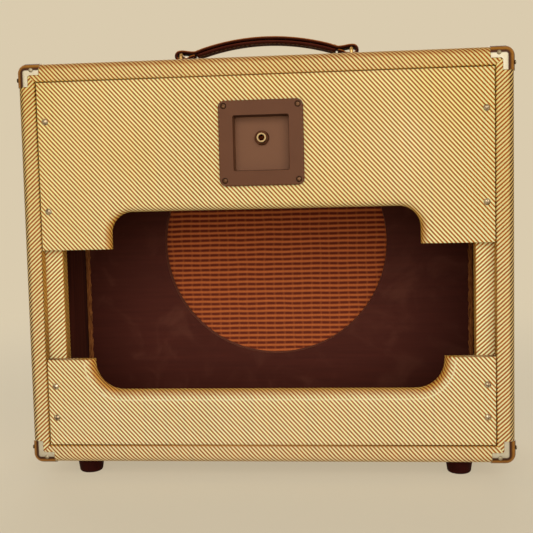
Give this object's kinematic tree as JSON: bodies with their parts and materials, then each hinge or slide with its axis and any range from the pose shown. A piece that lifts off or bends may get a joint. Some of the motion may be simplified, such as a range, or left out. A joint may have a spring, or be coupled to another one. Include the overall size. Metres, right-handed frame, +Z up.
{
  "type": "guitar speaker cabinet",
  "caption": "Open-back tweed guitar speaker cabinet without its driver: boxed shell, cut-away back panels, jack dish, grille baffle, leather handle.",
  "frame": {"origin": "on the floor under the middle of the cabinet", "axes": "+Z up, the rear with the back panels faces -Y, +X to the right seen from behind"},
  "size_m": [0.5124, 0.1884, 0.4763],
  "materials": {
    "tweed": "lacquered twill tweed, cream with brown diagonal stripes",
    "pine": "planed, stained dark brown on the inside",
    "plywood": "sanded plywood",
    "painted_plywood": "flat dark brown paint",
    "grille_cloth": "woven ribbed grille cloth, seen from behind",
    "dish_plastic": "moulded, fine texture",
    "insulating_fibre": "pressed fibre",
    "handle_leather": "dark brown, waxed and stitched",
    "foot_rubber": "moulded, matt",
    "corner_nickel": "nickel plate, lightly tarnished",
    "jack_nickel": "nickel plate",
    "dark_nickel": "blackened steel",
    "contact_brass": "bright spring brass",
    "handle_nickel": "nickel plate",
    "screw_steel": "nickel plated steel"
  },
  "bodies": {
    "cabinet": {"baffle_batten_bottom": "pine", "baffle_batten_top": "pine", "baffle_board": "painted_plywood", "baffle_screws": "screw_steel", "cleat_tweed_left": "tweed", "cleat_tweed_right": "tweed", "corner_front_bottom_left": "corner_nickel", "corner_front_bottom_right": "corner_nickel", "corner_front_top_left": "corner_nickel", "corner_front_top_right": "corner_nickel", "corner_pins": "corner_nickel", "corner_rear_bottom_left": "corner_nickel", "corner_rear_bottom_right": "corner_nickel", "corner_rear_top_left": "corner_nickel", "corner_rear_top_right": "corner_nickel", "foot_front_left": "foot_rubber", "foot_front_right": "foot_rubber", "foot_rear_left": "foot_rubber", "foot_rear_right": "foot_rubber", "foot_screws": "screw_steel", "foot_washers": "screw_steel", "grille_cloth": "grille_cloth", "grille_cloth_hem": "grille_cloth", "grille_staples": "screw_steel", "handle_clip_left": "handle_nickel", "handle_clip_right": "handle_nickel", "handle_clip_screws": "handle_nickel", "jack_dish": "dish_plastic", "jack_dish_screws": "screw_steel", "jack_frame": "jack_nickel", "jack_insulators": "insulating_fibre", "jack_nut": "dark_nickel", "jack_rivets": "contact_brass", "jack_tip_terminal": "contact_brass", "jack_washer": "jack_nickel", "lower_back_panel": "plywood", "lower_back_tweed": "tweed", "lower_panel_screws": "screw_steel", "rear_cleat_left": "pine", "rear_cleat_right": "pine", "shell_bottom_board": "pine", "shell_left_board": "pine", "shell_right_board": "pine", "shell_top_board": "pine", "shell_tweed": "tweed", "upper_back_panel": "plywood", "upper_back_tweed": "tweed", "upper_panel_screws": "screw_steel"},
    "left_ring": {"handle_ring_left": "handle_nickel"},
    "strap": {"handle_upper_leather": "handle_leather", "handle_core_strip": "screw_steel", "handle_lower_leather": "handle_leather"},
    "right_ring": {"handle_ring_right": "handle_nickel"},
    "tip_leaf": {"jack_tip_leaf": "contact_brass"}
  },
  "joints": [
    {"name": "left_ring_swing", "type": "hinge", "parent": "cabinet", "child": "left_ring", "pos_m": [-0.0943, 0, 0.4438], "axis": [0, 1, 0], "range_deg": [-50, 50]},
    {"name": "strap_level", "type": "hinge", "parent": "left_ring", "child": "strap", "pos_m": [-0.0943, 0, 0.4587], "axis": [0, 1, 0], "range_deg": [-50, 50]},
    {"name": "right_ring_swing", "type": "hinge", "parent": "cabinet", "child": "right_ring", "pos_m": [0.0943, 0, 0.4438], "axis": [0, 1, 0], "range_deg": [-50, 50]},
    {"name": "tip_leaf_flex", "type": "hinge", "parent": "cabinet", "child": "tip_leaf", "pos_m": [0, -0.0546, 0.3503], "axis": [1, 0, 0], "range_deg": [0, 12], "stiffness_Nm_per_rad": 0.05, "springref_deg": -2.86}
  ],
  "couplings": [
    {"joint": "strap_level", "follows": "left_ring_swing", "ratio": -1},
    {"joint": "right_ring_swing", "follows": "left_ring_swing", "ratio": 1}
  ]
}
